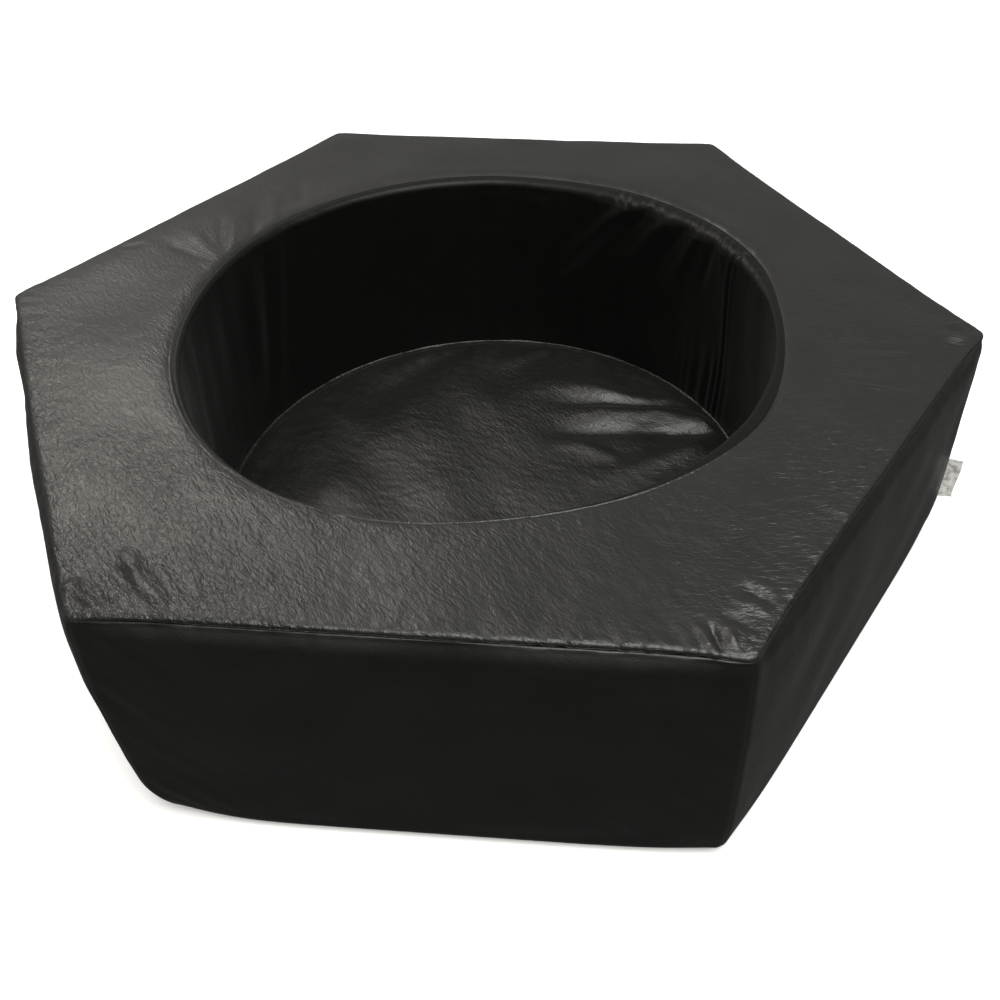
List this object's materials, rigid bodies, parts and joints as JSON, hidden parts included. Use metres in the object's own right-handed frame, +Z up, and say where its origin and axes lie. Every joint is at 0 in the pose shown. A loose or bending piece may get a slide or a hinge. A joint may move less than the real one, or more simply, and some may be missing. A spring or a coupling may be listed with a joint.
{
  "type": "mini trampoline",
  "caption": "Low mini trampoline: a sprung round bed at the bottom of a deep well in a hexagonal foam surround covered in black vinyl.",
  "frame": {"origin": "on the floor, at the middle of the whole part's bounding box, which the label at the +X corner moves 13 mm from the well's axis", "axes": "+Z up, +X through the corner that carries the care label, +Y out of the flat side that carries the zip"},
  "size_m": [1.526, 1.299, 0.385],
  "materials": {
    "cover_vinyl": "satin",
    "foam": "matte",
    "frame_steel": "satin",
    "sleeve_steel": "satin",
    "spring_steel": "polished",
    "foot_rubber": "matte",
    "jump_mat": "matte",
    "zip_tape": "matte",
    "zip_metal": "satin",
    "label_satin": "satin"
  },
  "bodies": {
    "surround": {"top_panel": "cover_vinyl", "side_panel_1": "cover_vinyl", "side_panel_2": "cover_vinyl", "side_panel_3": "cover_vinyl", "side_panel_4": "cover_vinyl", "side_panel_5": "cover_vinyl", "side_panel_6": "cover_vinyl", "well_lining": "cover_vinyl", "base_panel": "cover_vinyl", "foam_base": "foam", "foam_block_1": "foam", "foam_block_2": "foam", "foam_block_3": "foam", "foam_block_4": "foam", "foam_block_5": "foam", "foam_block_6": "foam", "frame_arc_1": "frame_steel", "frame_arc_2": "frame_steel", "frame_arc_3": "frame_steel", "frame_sleeve_1": "sleeve_steel", "frame_sleeve_2": "sleeve_steel", "frame_sleeve_3": "sleeve_steel", "rubber_foot_1": "foot_rubber", "rubber_foot_2": "foot_rubber", "rubber_foot_3": "foot_rubber", "rubber_foot_4": "foot_rubber", "rubber_foot_5": "foot_rubber", "rubber_foot_6": "foot_rubber", "spring_01": "spring_steel", "spring_02": "spring_steel", "spring_03": "spring_steel", "spring_04": "spring_steel", "spring_05": "spring_steel", "spring_06": "spring_steel", "spring_07": "spring_steel", "spring_08": "spring_steel", "spring_09": "spring_steel", "spring_10": "spring_steel", "spring_11": "spring_steel", "spring_12": "spring_steel", "spring_13": "spring_steel", "spring_14": "spring_steel", "spring_15": "spring_steel", "spring_16": "spring_steel", "spring_17": "spring_steel", "spring_18": "spring_steel", "spring_19": "spring_steel", "spring_20": "spring_steel", "spring_21": "spring_steel", "spring_22": "spring_steel", "spring_23": "spring_steel", "spring_24": "spring_steel", "zip_tape": "zip_tape", "zip_teeth": "zip_metal"},
    "bed": {"jump_mat": "jump_mat", "well_floor": "cover_vinyl"},
    "zip_slider": {"zip_slider": "zip_metal"},
    "zip_pull": {"zip_pull": "zip_metal"},
    "care_label": {"care_label": "label_satin"}
  },
  "joints": [
    {"name": "bed_bounce", "type": "slide", "parent": "surround", "child": "bed", "axis": [0, 0, 1], "range_m": [-0.03, 0], "stiffness_N_per_m": 9000, "springref_m": 0.0015, "deforming": ["spring_01", "spring_02", "spring_03", "spring_04", "spring_05", "spring_06", "spring_07", "spring_08", "spring_09", "spring_10", "spring_11", "spring_12", "spring_13", "spring_14", "spring_15", "spring_16", "spring_17", "spring_18", "spring_19", "spring_20", "spring_21", "spring_22", "spring_23", "spring_24"]},
    {"name": "zip_slide", "type": "slide", "parent": "surround", "child": "zip_slider", "axis": [1, 0, 0], "range_m": [0, 0.632]},
    {"name": "zip_pull_flip", "type": "hinge", "parent": "zip_slider", "child": "zip_pull", "pos_m": [-0.329, 0.64656, 0.00545], "axis": [0, 0.6691, 0.7431], "range_deg": [0, 175]},
    {"name": "label_flap", "type": "hinge", "parent": "surround", "child": "care_label", "pos_m": [0.738, 0, 0.106], "axis": [0, 0, 1], "range_deg": [-75, 75]}
  ]
}
